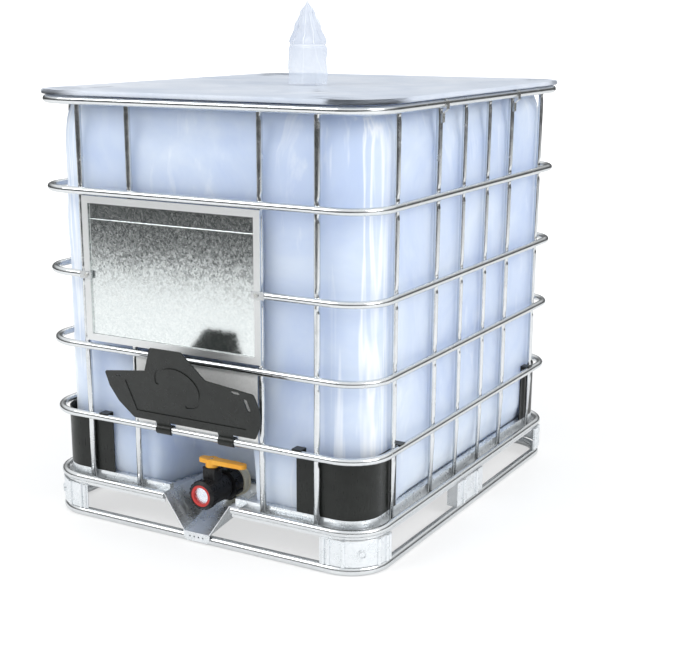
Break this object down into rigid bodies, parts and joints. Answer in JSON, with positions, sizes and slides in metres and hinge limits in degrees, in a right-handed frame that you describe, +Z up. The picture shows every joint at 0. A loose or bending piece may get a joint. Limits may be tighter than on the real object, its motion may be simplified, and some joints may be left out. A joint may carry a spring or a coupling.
{
  "type": "intermediate bulk container",
  "caption": "Tubular steel cage on a steel frame pallet, holding a filled film liner with a top filling spout, a front ball valve and a folding valve cover.",
  "frame": {"origin": "on the floor at the centre of the pallet footprint", "axes": "+Z up, -Y towards the valve side, +X to the right seen from the valve side"},
  "size_m": [1.011, 1.317, 1.3425],
  "materials": {
    "galvanised_tube": "satin galvanised",
    "galvanised_sheet": "spangled galvanised",
    "steel": "zinc plated",
    "black_plastic": "fine grained",
    "valve_plastic": "moulded",
    "yellow_plastic": "moulded",
    "pale_plastic": "moulded",
    "red_rubber": "smooth",
    "black_rubber": "smooth",
    "foil": "bright foil",
    "liner_film": "translucent film"
  },
  "bodies": {
    "frame": {"back_left_foot": "galvanised_sheet", "back_left_guard": "black_plastic", "back_right_foot": "galvanised_sheet", "back_right_guard": "black_plastic", "back_upright_1": "galvanised_tube", "back_upright_2": "galvanised_tube", "back_upright_3": "galvanised_tube", "back_upright_4": "galvanised_tube", "backing_plate": "galvanised_sheet", "ball_seats": "pale_plastic", "base_hoop": "galvanised_tube", "deck_frame": "galvanised_tube", "deck_tray": "galvanised_sheet", "filling_spout": "liner_film", "fitment_ring": "pale_plastic", "front_left_foot": "galvanised_sheet", "front_left_guard": "black_plastic", "front_right_foot": "galvanised_sheet", "front_right_guard": "black_plastic", "front_upright_1": "galvanised_tube", "front_upright_2": "galvanised_tube", "front_upright_3": "galvanised_tube", "front_upright_4": "galvanised_tube", "label_plate": "galvanised_sheet", "left_upright_1": "galvanised_tube", "left_upright_2": "galvanised_tube", "left_upright_3": "galvanised_tube", "left_upright_4": "galvanised_tube", "left_upright_5": "galvanised_tube", "left_upright_6": "galvanised_tube", "liner_bag": "liner_film", "liner_fitment": "pale_plastic", "lower_hoop": "galvanised_tube", "middle_feet": "galvanised_sheet", "middle_hoop": "galvanised_tube", "plate_rivets": "steel", "right_upright_1": "galvanised_tube", "right_upright_2": "galvanised_tube", "right_upright_3": "galvanised_tube", "right_upright_4": "galvanised_tube", "right_upright_5": "galvanised_tube", "right_upright_6": "galvanised_tube", "rim_clamps": "steel", "seat_retainer": "valve_plastic", "skid_loop": "galvanised_tube", "stem_orings": "black_rubber", "top_rim": "galvanised_tube", "union_gasket": "black_rubber", "union_nut": "valve_plastic", "upper_hoop": "galvanised_tube", "valve_body": "valve_plastic", "valve_saddle": "galvanised_sheet"},
    "valve_spindle": {"valve_handle": "yellow_plastic", "valve_stem": "steel", "valve_ball": "pale_plastic", "handle_screw": "steel"},
    "cover_flap": {"valve_flap": "black_plastic"},
    "outlet_insert": {"outlet_seal": "red_rubber", "outlet_foil": "foil"},
    "outlet_cap": {"outlet_collar": "valve_plastic"}
  },
  "joints": [
    {"name": "valve_turn", "type": "hinge", "parent": "frame", "child": "valve_spindle", "pos_m": [0, -0.525, 0.122], "axis": [0, 0, 1], "range_deg": [-90, 0]},
    {"name": "cover_hinge", "type": "hinge", "parent": "frame", "child": "cover_flap", "pos_m": [0, -0.5905, 0.2895], "axis": [1, 0, 0], "range_deg": [-20, 124]},
    {"name": "cap_travel", "type": "slide", "parent": "frame", "child": "outlet_insert", "axis": [0, -1, 0], "range_m": [0, 0.0181]},
    {"name": "cap_turn", "type": "hinge", "parent": "outlet_insert", "child": "outlet_cap", "pos_m": [0, -0.58, 0.122], "axis": [0, -1, 0], "range_deg": [0, 1080]}
  ],
  "couplings": [
    {"joint": "cap_travel", "follows": "cap_turn", "m_per_rad": 0.00095493}
  ]
}
